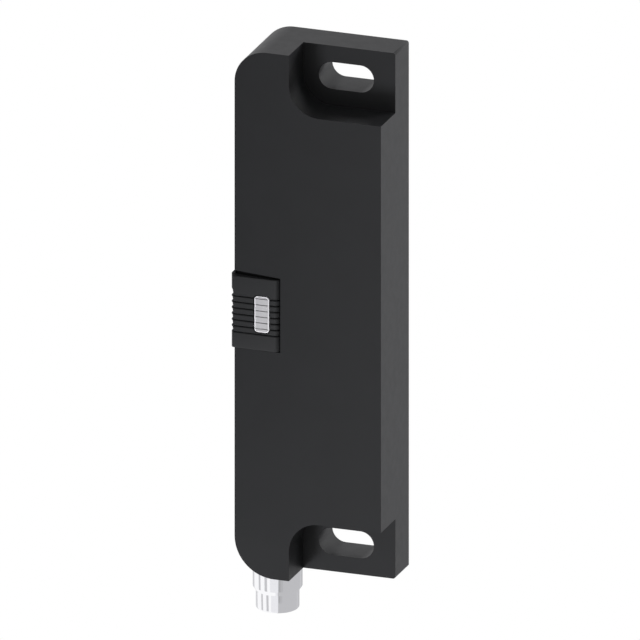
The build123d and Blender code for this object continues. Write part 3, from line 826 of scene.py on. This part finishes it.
tree.links.new(either_look.outputs["Shader"], tree.nodes["Material Output"].inputs["Surface"])
floor_paint.cycles.emission_sampling = "NONE"
print("floor, in metres: radius", floor_radius, "height", floor_height)

# %% [markdown]
# The world shows white to the camera, and also to mirrors and glass, while it lights the object
# much more gently.

# %% World
soft_light, white = 0.15, 1.0
world = bpy.data.worlds.new("studio")
bpy.context.scene.world = world
world.use_nodes = True
tree = world.node_tree
background = tree.nodes["Background"]
background.inputs["Color"].default_value = (1.0, 1.0, 1.0, 1.0)
seen = ray_is(tree, "Is Camera Ray", "Is Glossy Ray", "Is Transmission Ray")
strength = add_node(tree, "MapRange")
strength.inputs["To Min"].default_value = soft_light
strength.inputs["To Max"].default_value = white
tree.links.new(seen, strength.inputs["Value"])
tree.links.new(strength.outputs["Result"], background.inputs["Strength"])
print("world:", soft_light, "on the object,", white, "to camera and mirrors")

# %% [markdown]
# A soft lamp stands low in front on the left, so the pockets' walls stay dark and throw a soft
# shade on the lugs. The second one stands behind on the right and grazes the top and the right
# side. Neither shows in a picture or in a reflection.

# %% Lamps
def soft_lamp(name, where, size, level):
    """A square lamp that looks at the housing. A lamp of power P at distance d lights a surface
    that faces it with the level P / (pi d) squared, so P is level times (pi d) squared."""
    where = Vector(where)
    aim = where - Vector(housing_middle)
    data = bpy.data.lights.new(name, "AREA")
    data.shape = "SQUARE"
    data.size = size
    data.energy = level * (pi * aim.length) ** 2
    lamp = add_object(name, data)
    lamp.location = where
    lamp.rotation_euler = aim.to_track_quat("Z", "Y").to_euler()
    lamp.visible_camera = lamp.visible_glossy = False
    print(name, "watts:", round(data.energy, 2))


soft_lamp("front_lamp", (-0.27, -0.63, -0.32), 0.18, 1.09)
soft_lamp("back_lamp", (0.56, 0.55, 0.20), 0.30, 1.15)

# %% [markdown]
# Polished metal looks like what stands round it. Here that is what a studio has: a broad grey
# card on the right, whose front edge draws the sharp line down the middle of the plug, and three
# narrow flags on the left, which draw the thin stripes. Two darker strips lie before that edge,
# and more cards stand in front, behind, above and below. Most are slices of a wide globe round
# the object. The cards below the plug and the one for its edge are closer round the plug, and
# two nearly black flags stand close to the housing. All of them show only in reflections.

# %% Cards and flags
def card(name, first, last, low, high, brightness, reach=1.2, centre=(0.0, 0.0, 0.0)):
    """Slice of a globe round the centre: points at the distance reach, in the direction
    (cos e sin a, -cos e cos a, sin e). The angle a goes from first to last in degrees, 0 in
    front and 90 on the right, and the height angle e from low to high."""
    across, up = 32, 16
    a = np.radians(np.linspace(first, last, across))[None]
    e = np.radians(np.linspace(low, high, up))[:, None]
    points = np.stack(np.broadcast_arrays(reach * np.cos(e) * np.sin(a),
                                          -reach * np.cos(e) * np.cos(a),
                                          reach * np.sin(e)), axis=-1) + np.array(centre)
    mesh = mesh_from(name, points.reshape(-1, 3), grid_faces(up, across))
    finish = bpy.data.materials.new(name)
    finish.use_nodes = True
    shader = finish.node_tree.nodes["Principled BSDF"]
    shader.inputs["Base Color"].default_value = (0.0, 0.0, 0.0, 1.0)
    shader.inputs["Specular IOR Level"].default_value = 0.0
    shader.inputs["Emission Color"].default_value = (brightness, brightness, brightness * 1.02, 1)
    shader.inputs["Emission Strength"].default_value = 1.0
    mesh.materials.append(finish)
    piece = add_object(name, mesh)
    piece.visible_camera = piece.visible_diffuse = piece.visible_shadow = False
    piece.visible_transmission = False


plug_middle = (plug_x, plug_y, bottom - 4 * mm)
card("right_card", 24.0, 150.0, -36.0, -7.0, 0.53)
card("right_card_edge", 23.0, 33.0, -35.0, -8.0, 0.405, reach=1.19)
card("right_card_step", 33.0, 44.0, -35.0, -8.0, 0.475, reach=1.19)
card("plug_edge_card", 148.0, 205.0, -27.0, 0.0, 0.53, 0.05, plug_middle)
card("back_card", 150.0, 215.0, -36.0, -2.0, 0.74)
card("top_card", 170.0, 250.0, 0.0, 60.0, 0.78)
card("middle_card", -16.0, 23.0, -36.0, 2.0, 0.85)
card("flag_1", -137.0, -115.0, -36.0, 2.0, 0.62)
card("flag_2", -77.5, -66.0, -36.0, 2.0, 0.58)
card("flag_3", -43.0, -30.0, -36.0, 2.0, 0.58)
card("under_card", 23.0, 200.0, -89.0, -27.0, 0.53, 0.17, plug_middle)
card("under_middle", -16.0, 23.0, -89.0, -27.0, 0.85, 0.17, plug_middle)
card("edge_flag", -75.0, -18.5, -32.0, 45.0, 0.05, 0.12)
card("edge_flag_right", 30.0, 75.0, -32.0, 45.0, 0.05, 0.12)
